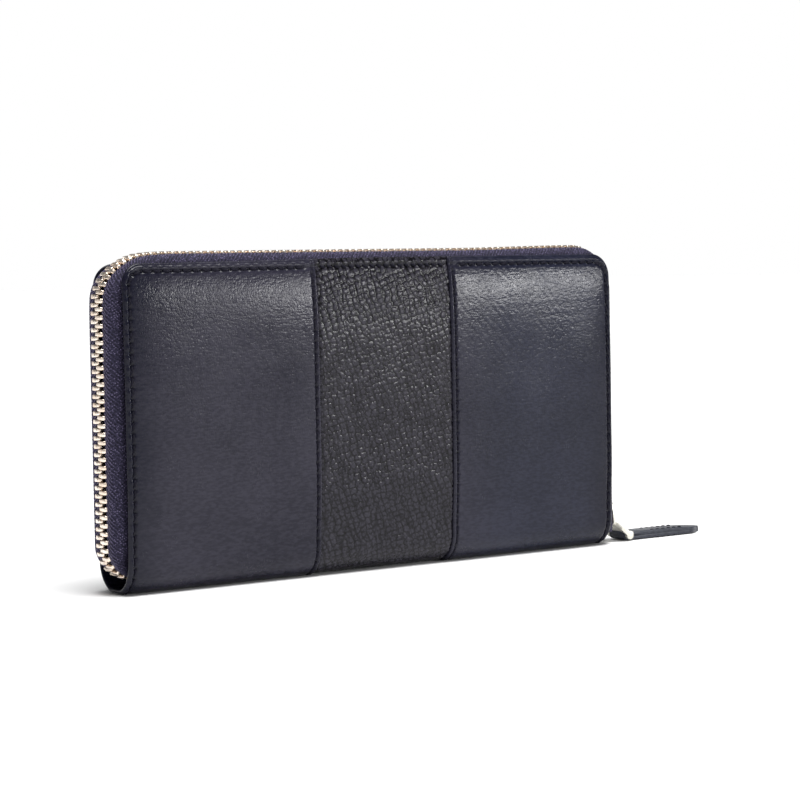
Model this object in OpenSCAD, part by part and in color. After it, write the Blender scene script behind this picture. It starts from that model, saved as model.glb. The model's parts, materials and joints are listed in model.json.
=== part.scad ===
// Zip-around wallet standing on its spine.
// X runs along the spine, the front faces -Y, and Z is up from the resting face of the spine.

/* [Covers] */
// Width of the covers along the spine
cover_w = 190; // [180:1:210]
// Height from the resting face to the covers' top edge
cover_h = 100; // [95:1:112]
// Thickness of the closed wallet over the smooth leather
wallet_t = 20.5; // [20.5:0.5:26]
// Radius of the covers' top corners
corner_r = 5.5; // [3:0.5:7]
// Width of the pebbled stripe
stripe_w = 52; // [20:1:80]

/* [Leather and lining] */
// Thickness of the smooth leather
leather_t = 1.2; // [0.8:0.1:1.4]
// Depth of the stripe below the smooth leather
stripe_step = 0.4; // [0.2:0.1:0.6]
// Thickness of the stiffening boards
board_t = 0.5; // [0.3:0.1:0.6]
// Thickness of the lining
lining_t = 0.35; // [0.2:0.05:0.4]

/* [Card pockets] */
// Number of card rows on each side
card_rows = 4; // [4:1:4]
// Step in height from one card row to the next
card_step = 13; // [10:1:14]
// Thickness of one card row
card_t = 0.25; // [0.15:0.05:0.25]

/* [Zip] */
// Distance between neighbouring teeth of one row
tooth_pitch = 2.54; // [2.3:0.02:2.8]
// Width of the closed chain across both rows
chain_w = 6.4; // [5.6:0.2:6.6]
// Thickness of a tooth
tooth_t = 2.4; // [2:0.1:2.6]
// Distance of the chain's middle beyond the covers' edge
chain_out = 3.3; // [3:0.1:4]
// Thickness of the woven tape
tape_t = 0.4; // [0.3:0.05:0.45]
// Radius of the chain's turn-in at the foot of each side
end_r = 9.5; // [8:0.5:10]

/* [Slider and pull] */
// Length of the slider body
slider_l = 9; // [8:0.5:10]
// Height of the slider's lower end at rest
slider_z = 5; // [4.5:0.5:8]
// Distance from the bridge pin to the strap bar on the pull tab
tab_l = 7.2; // [7:0.1:9]
// Slope of the resting pull tab below the horizontal
tab_slope = 40; // [35:1:45]
// Width of the leather puller
strap_w = 8; // [6:0.5:8]
// Length of the leather puller from the bar to its tip
strap_l = 37.4; // [28:0.2:45]

/* [Coin pocket] */
// Width of the coin pocket
pocket_w = 168.8; // [150:0.4:169]
// Height of the coin pocket's walls
pocket_h = 87.5; // [75:0.5:88]
// Clear room between the coin pocket's walls
pocket_room = 4.2; // [4.2:0.1:4.4]
// Size of the coin pocket's zip compared with the main zip
small = 0.55; // [0.5:0.05:0.6]

/* [Hidden] */
$fn = 48;

smooth_navy = [0.14, 0.14, 0.20];
pebble_black = [0.10, 0.10, 0.11];
tape_navy = [0.17, 0.16, 0.27];
lining_grey = [0.30, 0.30, 0.36];
card_navy = [0.18, 0.18, 0.24];
tooth_gold = [0.80, 0.70, 0.48];
nickel = [0.75, 0.75, 0.74];

half_w = cover_w / 2;
half_t = wallet_t / 2;
half_stripe = stripe_w / 2;

// The spine is a gutter of half_t radius that rests on a narrow flat.
rest_flat = 3.6;
spine_z = sqrt(half_t * half_t - rest_flat * rest_flat);
bend_gap = 0.4;
cover_z = spine_z + bend_gap;

// Layers of one cover, from the outside in.
board_y = half_t - leather_t;
lining_y = board_y - board_t;
card_y = lining_y - lining_t;
board_inset = 7;
lining_inset = 2;
card_bottom = 14;
card_first_top = 47;
card_last_top = card_first_top + (card_rows - 1) * card_step;
backing_top = card_last_top + 7;
card_half_gap = 0.4;
card_outer = 86.8;

// Chain: n is measured outward from the covers' edge, and turns about the corner centre.
turn_edge_r = 7.5;
turn_x = half_w - turn_edge_r;
turn_z = cover_h - turn_edge_r;
chain_r = turn_edge_r + chain_out;
chain_z0 = 14.3;
side_run = turn_z - chain_z0;
turn_run = chain_r * PI / 2;
top_run = 2 * turn_x;
chain_run = 2 * side_run + 2 * turn_run + top_run;
teeth_n = round(chain_run / tooth_pitch);
pitch = chain_run / teeth_n;
tooth_w = 1.1;
tooth_bevel = 0.3;
front_shift = 0.27;
back_shift = 0.77;
tooth_reach = 0.6;
tooth_root = 1.05;
crimp = 0.05;
tape_slack = 0.1;
tape_y = board_y - tape_t / 2;

// Middle line of the front tape, from its sewn edge to the teeth, as [n, distance from mid-thickness].
tape_edge = chain_w / 2 - tooth_root + crimp;
tape_line = [
    [-6, tape_y - tape_slack], [-0.4, tape_y], [0.9, tape_y - 0.3], [2.1, tape_y - 0.9],
    [3, tape_y - 1.9], [3.4, tape_y - 3.1], [chain_out, tape_y - 4.4], [chain_out, tape_edge]
];
end_tape_y = 6;
end_gap = 0.2;
end_sweep = 80;
end_teeth = 5;
stop_angle = 87;
stop_l = 2;
end_x = half_w + chain_out - end_r;
end_z = chain_z0 - end_gap;

// Slider: local X is n, Y runs across the chain and Z along it.
plate_t = 0.75;
channel = 0.15;
outer_n = chain_out + tooth_t / 2 + channel;
inner_n = chain_out - tooth_t / 2 - channel - plate_t;
slider_half_w = 4.3;
nose_half_w = 5.2;
nose_r = 1.5;
tip_r = 1;
tail_r = 0.8;
flange_w = 0.6;
flange_d = 0.7;
flange_s = 3.4;
wedge_l = 5.4;
wedge = [[-0.7, 0.3], [0.7, 0.3], [1.1, 1.6], [0.2, 4], [-0.2, 4], [-1.1, 1.6]];
pin_r = 0.65;
pin_play = 0.08;
pin_n = outer_n + plate_t + 1.1;
pin_s = 1.6;
bridge_s = 4.4;
bridge_r = 1.5;
bridge_half_w = 1;
ear_gap = 0.3;
tab_half_w = 5.5;
tab_half_t = 0.9;
tab_end_r = 1.5;
tab_shoulder = 2.6;
ear_w = 1.1;
ear_l = 3.4;
ear_thin = 0.9;
bar_r = 0.6;
bar_play = 0.1;
layer_t = 1.1;
strap_tip = 2.8;
layers_meet = 7.5;
pin_x = half_w + pin_n;
pin_z = slider_z + pin_s;
bar_x = pin_x + tab_l * cos(tab_slope);
bar_z = pin_z - tab_l * sin(tab_slope);
strap_z = 0.4;

// Coin pocket.
wall_t = 0.6;
pocket_y = pocket_room / 2;
pocket_outer = pocket_y + wall_t;
pocket_z = 2.3;
side_t = 0.8;
base_t = 1.6;
seam_play = 0.05;
liner_out = board_y - seam_play;
liner_r = liner_out - board_t;
base_z = spine_z - sqrt(liner_r * liner_r - pocket_y * pocket_y) + seam_play;
small_tape_t = 0.3;
small_tape_z = pocket_h + small_tape_t / 2;
small_chain_n = small_tape_z - chain_out * small;
small_slider_x = 72;
small_tab_l = 9;
small_tab_half_w = 3.4;

// Middle line of the coin pocket's zip tape, as [distance from mid-thickness, height]: up the
// wall, out round the slider's inner plate and in to the teeth.
wall_top = pocket_h - 1.9;
small_tape_line = [
    [pocket_outer + small_tape_t / 2, wall_top - 4.6], [pocket_outer + small_tape_t / 2, wall_top - 1.2],
    [pocket_outer + 0.65, wall_top], [pocket_outer + 0.65, small_tape_z],
    [tape_edge * small, small_tape_z]
];

// Gusset: one inward fold, from the cover's lining to the coin pocket's wall.
gusset_t = 0.4;
gusset_top = wall_top - 4.8;
gusset_line = [
    [92.3, 2 * seam_play + gusset_t / 2 - card_y], [88.8, 2 * seam_play + gusset_t / 2 - card_y],
    [87.9, -6.4], [79.5, -4.9], [84.8, -gusset_t / 2 - 2 * seam_play - pocket_outer]
];

// Closed outline of a band of thickness t whose middle line is pts, mitred at each point.
function unit(v) = v / norm(v);
function left_of(v) = [-v[1], v[0]];
function into(pts, i) = unit(i > 0 ? pts[i] - pts[i - 1] : pts[1] - pts[0]);
function out_of(pts, i) = i < len(pts) - 1 ? unit(pts[i + 1] - pts[i]) : into(pts, i);
function side_of(pts, d) = [
    for (i = [0:len(pts) - 1])
        let (m = left_of(unit(into(pts, i) + out_of(pts, i))))
            pts[i] + d / (m * left_of(into(pts, i))) * m
];
function reversed(pts) = [for (i = [len(pts) - 1:-1:0]) pts[i]];
function to_micron(pts) = [for (p = pts) [for (x = p) round(x * 1000) / 1000]];
function band(pts, t) = to_micron(concat(side_of(pts, t / 2), reversed(side_of(pts, -t / 2))));

module back() { mirror([0, 1, 0]) children(); }
module left() { mirror([1, 0, 0]) children(); }

// Plate in the XZ plane whose outer face is y_out in front of mid-thickness.
module upright(y_out, t) {
    translate([0, t - y_out, 0]) rotate([90, 0, 0]) linear_extrude(t) children();
}

// Upright rectangle from x0 to x1 and z0 to z1, with its top right corner rounded.
module right_rounded(x0, x1, z0, z1, r) {
    translate([x0, z0]) square([x1 - x0, z1 - z0 - r]);
    translate([x0, z0]) square([x1 - x0 - r, z1 - z0]);
    translate([x1 - r, z1 - r]) circle(r);
}

// The same rectangle centred on the wallet, with both top corners rounded.
module both_rounded(half, z0, z1, r) {
    right_rounded(0, half, z0, z1, r);
    mirror([1, 0]) right_rounded(0, half, z0, z1, r);
}

// Front cover

module front_leather_right() {
    color(smooth_navy) upright(half_t, leather_t)
        right_rounded(half_stripe, half_w, cover_z, cover_h, corner_r);
}

module front_leather_left() { left() front_leather_right(); }

module front_stripe() {
    color(pebble_black) upright(half_t - stripe_step, leather_t - stripe_step)
        translate([-half_stripe, cover_z]) square([stripe_w, cover_h - cover_z]);
}

module front_board() {
    color("tan") upright(board_y, board_t)
        both_rounded(half_w - board_inset, cover_z, cover_h - board_inset, corner_r / 2);
}

module front_lining() {
    color(lining_grey) upright(lining_y, lining_t)
        both_rounded(half_w - lining_inset, cover_z, cover_h - lining_inset, corner_r);
}

module front_card_backing() {
    color(card_navy) upright(card_y, card_t)
        translate([-card_outer, card_bottom])
            square([2 * card_outer, backing_top - card_bottom]);
}

// Row 1 is the lowest and lies nearest to the middle of the wallet.
module front_card_row(row) {
    top = card_first_top + (row - 1) * card_step;
    depth = card_y - (card_rows - row + 1) * card_t;
    color(card_navy) upright(depth, card_t)
        for (x = [-card_outer, card_half_gap])
            translate([x, card_bottom]) square([card_outer - card_half_gap, top - card_bottom]);
}

// Zip tapes and teeth

module tape_profile() { polygon([for (p = band(tape_line, tape_t)) [p[0], -p[1]]]); }

module turned_tape_profile() {
    polygon([for (p = band(tape_line, tape_t)) [turn_edge_r + p[0], p[1]]]);
}

module front_zip_tape_side() {
    translate([half_w, 0, chain_z0]) linear_extrude(side_run) tape_profile();
    translate([turn_x, 0, turn_z]) rotate([90, 0, 0])
        rotate_extrude(angle = 90) turned_tape_profile();
}

module front_zip_tape() {
    color(tape_navy) {
        front_zip_tape_side();
        left() front_zip_tape_side();
        translate([top_run / 2, 0, cover_h]) rotate([0, -90, 0])
            linear_extrude(top_run) tape_profile();
    }
}

// One tooth of the front row, clasping the tape's edge; local X is n and it is one tooth wide in Z.
module tooth() {
    n0 = chain_out - tooth_t / 2;
    n1 = chain_out + tooth_t / 2;
    slot = tape_t / 2 + crimp;
    root = -chain_w / 2;
    translate([0, 0, -tooth_w / 2]) linear_extrude(tooth_w) polygon([
        [n0, root], [chain_out - slot, root], [chain_out - slot, root + tooth_root],
        [chain_out + slot, root + tooth_root], [chain_out + slot, root], [n1, root],
        [n1, tooth_reach - tooth_bevel], [n1 - tooth_bevel, tooth_reach],
        [n0 + tooth_bevel, tooth_reach], [n0, tooth_reach - tooth_bevel]
    ]);
}

// Puts a tooth at distance s along the chain, from the foot of the right side to the left one.
module on_chain(s) {
    if (s < side_run)
        translate([half_w, 0, chain_z0 + s]) children();
    else if (s < side_run + turn_run)
        translate([turn_x, 0, turn_z]) rotate([0, -(s - side_run) / chain_r * 180 / PI, 0])
            translate([turn_edge_r, 0, 0]) children();
    else if (s < side_run + turn_run + top_run)
        translate([turn_x - (s - side_run - turn_run), 0, cover_h]) rotate([0, -90, 0]) children();
    else if (s < chain_run - side_run)
        translate([-turn_x, 0, turn_z])
            rotate([0, -90 - (s - side_run - turn_run - top_run) / chain_r * 180 / PI, 0])
                translate([turn_edge_r, 0, 0]) children();
    else
        translate([-half_w, 0, chain_z0 + chain_run - s]) rotate([0, 180, 0]) children();
}

module tooth_row(shift) {
    color(tooth_gold) for (i = [0:teeth_n - 1]) on_chain((i + shift) * pitch) tooth();
}

module front_zip_teeth() { tooth_row(front_shift); }
module back_zip_teeth() { back() tooth_row(back_shift); }

// Both tapes at the foot of the left side, turning in to the spine.
module zip_end_tapes_left() {
    end_line = [for (y = [end_tape_y, tape_edge]) [end_r, y]];
    color(tape_navy) translate([-end_x, 0, end_z]) rotate([90, 0, 0])
        for (flip = [0, 1]) mirror([0, 0, flip]) rotate([0, 0, 180])
            rotate_extrude(angle = end_sweep) polygon(band(end_line, tape_t));
}

module zip_end_teeth_left() {
    step = pitch / end_r * 180 / PI;
    color(tooth_gold) translate([-end_x, 0, end_z]) {
        for (i = [0:end_teeth - 1], flip = [0, 1]) mirror([0, flip, 0])
            rotate([0, 180 - (i + front_shift + 0.5 * flip) * step, 0])
                translate([end_r - chain_out, 0, 0]) tooth();
        rotate([0, 180 - stop_angle, 0]) translate([end_r, 0, 0])
            cube([tooth_t, chain_w, stop_l], center = true);
    }
}

// The straight chain end that the resting slider closes.
module zip_end_tapes_right() {
    end_line = [for (y = [end_tape_y, tape_edge]) [chain_out, y]];
    color(tape_navy) translate([half_w, 0, slider_z - 1])
        for (flip = [0, 1]) mirror([0, flip, 0])
            linear_extrude(chain_z0 - end_gap - slider_z + 1) polygon(band(end_line, tape_t));
}

module zip_end_teeth_right() {
    color(tooth_gold) translate([half_w, 0, 0])
        for (flip = [0, 1]) mirror([0, flip, 0])
            translate([0, 0, chain_z0 - (back_shift - 0.5 * flip) * pitch]) {
                tooth();
                if (flip == 1) translate([0, 0, -pitch]) tooth();
            }
}

// Spine

// Half-round gutter from x0 to x1 with outer radius r and thickness t, cut flat where it rests.
module gutter(x0, x1, r, t) {
    translate([x0, 0, 0]) rotate([90, 0, 90]) linear_extrude(x1 - x0) difference() {
        translate([0, spine_z]) circle(r);
        translate([0, spine_z]) circle(r - t);
        translate([-r - 1, spine_z]) square([2 * r + 2, r + 1]);
        translate([-r - 1, -r]) square([2 * r + 2, r]);
    }
}

module spine_leather_right() { color(smooth_navy) gutter(half_stripe, half_w, half_t, leather_t); }
module spine_leather_left() { left() spine_leather_right(); }

module spine_stripe() {
    color(pebble_black)
        gutter(-half_stripe, half_stripe, half_t - stripe_step, leather_t - stripe_step);
}

module spine_liner() {
    liner_half = half_w - board_inset;
    color(lining_grey) gutter(-liner_half, liner_half, liner_out, board_t);
}

// Coin pocket

module pocket_wall_front() {
    color(lining_grey) upright(pocket_outer, wall_t)
        translate([-pocket_w / 2, pocket_z]) square([pocket_w, wall_top - pocket_z]);
}

module pocket_side_right() {
    color(lining_grey) translate([pocket_w / 2 - side_t, -pocket_y, pocket_z])
        cube([side_t, pocket_room, pocket_h - pocket_z]);
}

module pocket_base() {
    base_half = pocket_w / 2 - side_t;
    color(lining_grey) translate([-base_half, -pocket_y, base_z])
        cube([2 * base_half, pocket_room, base_t]);
}

module pocket_zip_tape_front() {
    outline = [for (p = band(small_tape_line, small_tape_t)) [-p[0], p[1]]];
    color(tape_navy) translate([-pocket_w / 2, 0, 0]) rotate([90, 0, 90])
        linear_extrude(pocket_w) polygon(outline);
}

// Puts parts of the main zip's local frame, scaled down, on top of the coin pocket.
module on_pocket(x) {
    translate([x, 0, small_chain_n]) rotate([0, -90, 0]) scale(small) children();
}

// The closed chain, from the pocket's left end to the wedge inside the resting slider.
module pocket_zip_teeth() {
    step = tooth_pitch * small;
    start = 1.5 - pocket_w / 2;
    n = floor((small_slider_x - wedge_l * small - start) / step);
    color(tooth_gold) for (i = [0:n - 1]) on_pocket(start + i * step) {
        tooth();
        translate([0, 0, -tooth_pitch / 2]) back() tooth();
    }
}

module gusset_front_right() {
    color(lining_grey) translate([0, 0, card_bottom])
        linear_extrude(gusset_top - card_bottom) polygon(band(gusset_line, gusset_t));
}

// Zip slider in its local frame, from its nose at Z 0 to its closed end.

module slider_plate(n) {
    translate([n, 0, 0]) rotate([90, 0, 90]) linear_extrude(plate_t) hull() {
        for (side = [-1, 1]) {
            translate([side * (nose_half_w - nose_r), nose_r + tail_r]) circle(nose_r, $fn = 24);
            translate([side * (slider_half_w - nose_r), tip_r]) circle(tip_r, $fn = 24);
            translate([side * (slider_half_w - tail_r), slider_l - tail_r]) circle(tail_r, $fn = 24);
        }
    }
}

module slider_flange(n) {
    for (side = [-1, 1])
        translate([n, side * (slider_half_w - flange_w / 2) - flange_w / 2, flange_s])
            cube([flange_d, flange_w, slider_l - tail_r - flange_s]);
}

module slider_shell() {
    slider_plate(outer_n);
    slider_plate(inner_n);
    slider_flange(outer_n - flange_d);
    slider_flange(inner_n + plate_t);
    translate([inner_n + plate_t, 0, 0]) rotate([90, 0, 90])
        linear_extrude(outer_n - inner_n - plate_t) polygon(wedge);
}

// Stadium in the XZ plane round the pin's slot.
module bridge_loop(r, half_y) {
    rotate([90, 0, 0]) translate([0, 0, -half_y]) {
        translate([pin_n, pin_s, 0]) cylinder(r = r, h = 2 * half_y);
        translate([pin_n, pin_s + bridge_s, 0]) cylinder(r = r, h = 2 * half_y);
        translate([pin_n - r, pin_s, 0]) cube([2 * r, bridge_s, 2 * half_y]);
    }
}

module bridge_shell() {
    base_n = outer_n + plate_t;
    difference() {
        bridge_loop(bridge_r, bridge_half_w);
        bridge_loop(pin_r + pin_play, bridge_half_w + 1);
        translate([base_n - 3, -3, -3]) cube([3, 6, slider_l + 6]);
    }
}

// Pull tab in its own frame: the pin is on the Y axis and the plate runs along +X.
module tab_plate(length, half_w_at_end) {
    ear = bridge_half_w + ear_gap;
    difference() {
        translate([0, 0, -tab_half_t]) linear_extrude(2 * tab_half_t) polygon([
            [0, -ear - ear_w], [0, ear + ear_w], [tab_shoulder, half_w_at_end],
            [length, half_w_at_end], [length, -half_w_at_end], [tab_shoulder, -half_w_at_end]
        ]);
        translate([-1, -ear, -2]) cube([ear_l, 2 * ear, 4]);
        for (z = [pin_r, -pin_r - 2])
            translate([ear_thin - 3, -tab_half_w, z]) cube([3, 2 * tab_half_w, 2]);
    }
    rotate([90, 0, 0]) cylinder(r = pin_r, h = 2 * (ear + ear_w), center = true);
}

module slider_body() {
    color(nickel) translate([half_w, 0, slider_z]) slider_shell();
}

module slider_bridge() {
    color(nickel) translate([half_w, 0, slider_z]) bridge_shell();
}

module pull_tab() {
    window = strap_w / 2 + 0.4;
    color(nickel) translate([pin_x, 0, pin_z]) rotate([0, tab_slope, 0]) {
        difference() {
            union() {
                tab_plate(tab_l, tab_half_w);
                translate([tab_l, 0, 0]) rotate([90, 0, 0])
                    cylinder(r = tab_end_r, h = 2 * tab_half_w, center = true);
            }
            translate([tab_l - 3.4, -window, -3]) cube([8, 2 * window, 6]);
        }
        translate([tab_l, 0, 0]) rotate([90, 0, 0])
            cylinder(r = bar_r, h = 2 * window + 0.4, center = true);
    }
}

// The folded strap in side view: a loop round the bar, whose two layers meet and lie flat.
module strap_fold() {
    loop_r = bar_r + bar_play;
    mid = strap_z + layer_t - bar_z;
    difference() {
        union() {
            cylinder(r = loop_r + layer_t, h = strap_w, center = true);
            linear_extrude(strap_w, center = true) polygon([
                [0, loop_r + layer_t], [layers_meet, mid + layer_t], [strap_l, mid + layer_t],
                [strap_l, mid - layer_t], [layers_meet, mid - layer_t], [0, -loop_r - layer_t]
            ]);
        }
        cylinder(r = loop_r, h = strap_w + 1, center = true);
        linear_extrude(strap_w + 1, center = true)
            polygon([[0, loop_r - 0.05], [layers_meet - 1, mid], [0, 0.05 - loop_r]]);
    }
}

module puller_strap() {
    color(smooth_navy) translate([bar_x, 0, bar_z]) intersection() {
        rotate([90, 0, 0]) strap_fold();
        translate([0, 0, -5]) linear_extrude(10) polygon([
            [-5, -strap_w / 2], [strap_l - strap_tip, -strap_w / 2], [strap_l, -strap_w / 4],
            [strap_l, strap_w / 4], [strap_l - strap_tip, strap_w / 2], [-5, strap_w / 2]
        ]);
    }
}

module pocket_slider() { color(nickel) on_pocket(small_slider_x) slider_shell(); }
module pocket_bridge() { color(nickel) on_pocket(small_slider_x) bridge_shell(); }

// The small pull lies flat along the pocket's zip.
module pocket_pull() {
    color(nickel) on_pocket(small_slider_x) translate([pin_n, 0, pin_s])
        rotate([0, 90, 0]) difference() {
            tab_plate(small_tab_l / small, small_tab_half_w);
            translate([small_tab_l / small - 3, 0, -3]) cylinder(r = small_tab_half_w / 2, h = 6);
        }
}

front_leather_left();
front_stripe();
front_leather_right();
front_board();
front_lining();
front_card_backing();
front_card_row(1);  // front_card_row_1
front_card_row(2);  // front_card_row_2
front_card_row(3);  // front_card_row_3
front_card_row(4);  // front_card_row_4
front_zip_tape();
front_zip_teeth();
back() front_leather_left();  // back_leather_left
back() front_stripe();  // back_stripe
back() front_leather_right();  // back_leather_right
back() front_board();  // back_board
back() front_lining();  // back_lining
back() front_card_backing();  // back_card_backing
back() front_card_row(1);  // back_card_row_1
back() front_card_row(2);  // back_card_row_2
back() front_card_row(3);  // back_card_row_3
back() front_card_row(4);  // back_card_row_4
back() front_zip_tape();  // back_zip_tape
back_zip_teeth();
spine_leather_left();
spine_stripe();
spine_leather_right();
spine_liner();
zip_end_tapes_left();
zip_end_teeth_left();
zip_end_tapes_right();
zip_end_teeth_right();
pocket_wall_front();
back() pocket_wall_front();  // pocket_wall_back
left() pocket_side_right();  // pocket_side_left
pocket_side_right();
pocket_base();
pocket_zip_tape_front();
back() pocket_zip_tape_front();  // pocket_zip_tape_back
pocket_zip_teeth();
left() gusset_front_right();  // gusset_front_left
gusset_front_right();
back() left() gusset_front_right();  // gusset_back_left
back() gusset_front_right();  // gusset_back_right
slider_body();
slider_bridge();
pull_tab();
puller_strap();
pocket_slider();
pocket_bridge();
pocket_pull();
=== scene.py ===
"""Zip-around wallet standing on its spine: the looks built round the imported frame.

Lengths are in millimetres until add_mesh() turns them into metres. The front cover faces -Y, and every
"front" shape is mirrored in Y for the back. On a cover, u runs in from its outer side edge, v runs down
from its top edge and on round under the spine, and depth is measured in from the flat outer face.
"""

import json
import math

import bmesh
import bpy
import numpy as np
from mathutils import Matrix, Vector

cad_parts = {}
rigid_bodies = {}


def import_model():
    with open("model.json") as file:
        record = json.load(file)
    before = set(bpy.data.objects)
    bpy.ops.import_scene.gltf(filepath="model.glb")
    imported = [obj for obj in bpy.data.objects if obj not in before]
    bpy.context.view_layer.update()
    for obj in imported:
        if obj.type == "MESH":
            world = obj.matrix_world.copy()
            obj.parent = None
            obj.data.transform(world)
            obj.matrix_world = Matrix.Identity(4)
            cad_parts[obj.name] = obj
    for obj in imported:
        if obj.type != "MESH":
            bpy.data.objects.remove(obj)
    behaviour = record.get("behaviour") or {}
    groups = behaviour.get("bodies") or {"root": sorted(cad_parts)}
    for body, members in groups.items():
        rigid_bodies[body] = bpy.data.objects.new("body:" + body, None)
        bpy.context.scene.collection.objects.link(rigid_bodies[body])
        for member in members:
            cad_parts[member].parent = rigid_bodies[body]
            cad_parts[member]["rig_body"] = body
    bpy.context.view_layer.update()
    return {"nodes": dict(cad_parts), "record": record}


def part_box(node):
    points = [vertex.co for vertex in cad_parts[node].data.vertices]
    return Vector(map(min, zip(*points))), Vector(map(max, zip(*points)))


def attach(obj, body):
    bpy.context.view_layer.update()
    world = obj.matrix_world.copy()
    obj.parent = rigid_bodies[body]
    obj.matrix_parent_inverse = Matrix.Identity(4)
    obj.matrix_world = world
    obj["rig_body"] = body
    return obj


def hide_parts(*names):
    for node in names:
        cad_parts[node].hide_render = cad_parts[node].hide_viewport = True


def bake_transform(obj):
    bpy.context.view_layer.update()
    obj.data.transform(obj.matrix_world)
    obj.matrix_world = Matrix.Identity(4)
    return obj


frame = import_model()

MM = 0.001
SIDES = {"front": -1, "back": 1}
ENDS = {"left": -1, "right": 1}


def node_box(node):
    """Lowest and highest corner of a CAD node, in millimetres."""
    low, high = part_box(node)
    return np.array(low) / MM, np.array(high) / MM


# Sizes read from the frame.
LEATHER_LOW, LEATHER_HIGH = node_box("front_leather_right")
HALF_W = LEATHER_HIGH[0]
HALF_T = -LEATHER_LOW[1]
COVER_H = LEATHER_HIGH[2]
LEATHER_T = LEATHER_HIGH[1] - LEATHER_LOW[1]
HALF_STRIPE = LEATHER_LOW[0]
STRIPE_DEPTH = HALF_T + node_box("front_stripe")[0][1]
SPINE_Z = node_box("spine_leather_right")[1][2]
TEETH_LOW, TEETH_HIGH = node_box("front_zip_teeth")
CHAIN_HALF_W = -TEETH_LOW[1]
TOOTH_REACH = TEETH_HIGH[1]
TEETH_OUT = TEETH_HIGH[2] - COVER_H
CHAIN_Z0 = node_box("front_zip_tape")[0][2]

# Sizes that the CAD works with and the frame doesn't show: half the flat underneath, the covers' corners,
# the teeth, and the zip's turns at the corners and at its left foot.
REST_FLAT = 3.6
CORNER_R = 6.5
TOOTH_T = 2.4
CHAIN_N = TEETH_OUT - TOOTH_T / 2
TURN_R = 10.7
TEETH_PER_ROW = 144
END_R = 9.5
END_SWEEP = math.radians(80)

# Stitches: their pitch, and how far in they lie from the top edge, the side edge and the seam.
STITCH_PITCH = 3.4
TOP_STITCH = 2.4
SIDE_STITCH = 2.0
SEAM_STITCH = 1.6

FOOT_ANGLE = math.asin(SPINE_Z / HALF_T)
FACE_RUN = COVER_H - SPINE_Z
SKIN_RUN = FACE_RUN + HALF_T * FOOT_ANGLE + REST_FLAT

# Heights between which the skin and the zip bend from a cover to the spine.
SKIN_BEND = (17, 4)
ZIP_BEND = (26, 9)


# ---- meshes

WELD = 1e-6

# Grid places near an edge: close together where it is turned and where its stitched groove lies.
EDGE_TICKS = [0, 0.04, 0.12, 0.24, 0.4, 0.6, 0.85, 1.1, 1.3, 1.5, 1.7, 1.9, 2.1, 2.3, 2.5, 2.75, 3.05, 3.4]


def add_object(name, data):
    obj = bpy.data.objects.new(name, data)
    bpy.context.scene.collection.objects.link(obj)
    return obj


def clean(mesh, reach, flat_angle=None):
    """Welds doubled points, merges faces that lie within flat_angle of flat, and turns faces outward."""
    work = bmesh.new()
    work.from_mesh(mesh)
    bmesh.ops.remove_doubles(work, verts=work.verts, dist=reach)
    if flat_angle:
        bmesh.ops.dissolve_limit(work, angle_limit=flat_angle, verts=work.verts, edges=work.edges)
    bmesh.ops.recalc_face_normals(work, faces=work.faces)
    work.to_mesh(mesh)
    work.free()
    mesh.polygons.foreach_set("use_smooth", [True] * len(mesh.polygons))


def add_mesh(name, points, faces, slot, uv=None):
    """A smooth-shaded object from points in millimetres, welded and with its faces turned outward.

    uv is one pair for each point.
    """
    mesh = bpy.data.meshes.new(name)
    mesh.from_pydata((np.asarray(points, float) * MM).tolist(), [], faces)
    if uv is not None:
        layer = mesh.uv_layers.new(name="Weave")
        corners = np.zeros(len(mesh.loops), int)
        mesh.loops.foreach_get("vertex_index", corners)
        layer.data.foreach_set("uv", np.asarray(uv, float)[corners].ravel())
    mesh.validate()
    mesh.materials.append(MATERIALS[slot])
    clean(mesh, WELD)
    return add_object(name, mesh)


def crossed(a, b):
    return np.meshgrid(a, b, indexing="ij")


def grid_faces(rows, columns, first=0, closed_columns=False):
    """Quads of a rows x columns grid of points."""
    i, j = (t.ravel() for t in crossed(np.arange(rows - 1), np.arange(columns - (not closed_columns))))
    i2, j2 = i + 1, (j + 1) % columns
    quads = np.stack([i * columns + j, i2 * columns + j, i2 * columns + j2, i * columns + j2], 1)
    return (quads + first).tolist()


def shell(name, side, pairs, slot, uv=None):
    """Closed shell between each pair of front-side grids of points that meet round their border."""
    points, faces = [], []
    for outer, inner in pairs:
        rows, columns = outer.shape[:2]
        first = sum(len(p) for p in points)
        points += [outer.reshape(-1, 3), inner.reshape(-1, 3)]
        faces += grid_faces(rows, columns, first)
        faces += [f[::-1] for f in grid_faces(rows, columns, first + rows * columns)]
    if uv is not None:
        uv = np.concatenate([uv.reshape(-1, 2)] * 2)
    return add_mesh(name, mirrored(np.concatenate(points), side), faces, slot, uv)


def joined(runs):
    """One list of points and one of faces from several pairs of them."""
    points, faces = [], []
    for run_points, run_faces in runs:
        faces += [[i + len(points) for i in f] for f in run_faces]
        points += run_points
    return points, faces


def mirrored(points, side):
    return points * np.array([1, -SIDES[side], 1])


def ticks(length, step, end=True):
    """Grid places from 0 to length: those of an edge at the start and, if there is one, at the end."""
    high = [length - t for t in (EDGE_TICKS if end else EDGE_TICKS[:2])]
    first, last = EDGE_TICKS[-1] + step, high[-1] - step
    count = max(2, int((last - first) / step) + 1)
    return np.array(sorted(EDGE_TICKS + list(np.linspace(first, last, count)) + high))


def places(low, high, axis, step):
    return low[axis] + ticks(high[axis] - low[axis], step)


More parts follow.
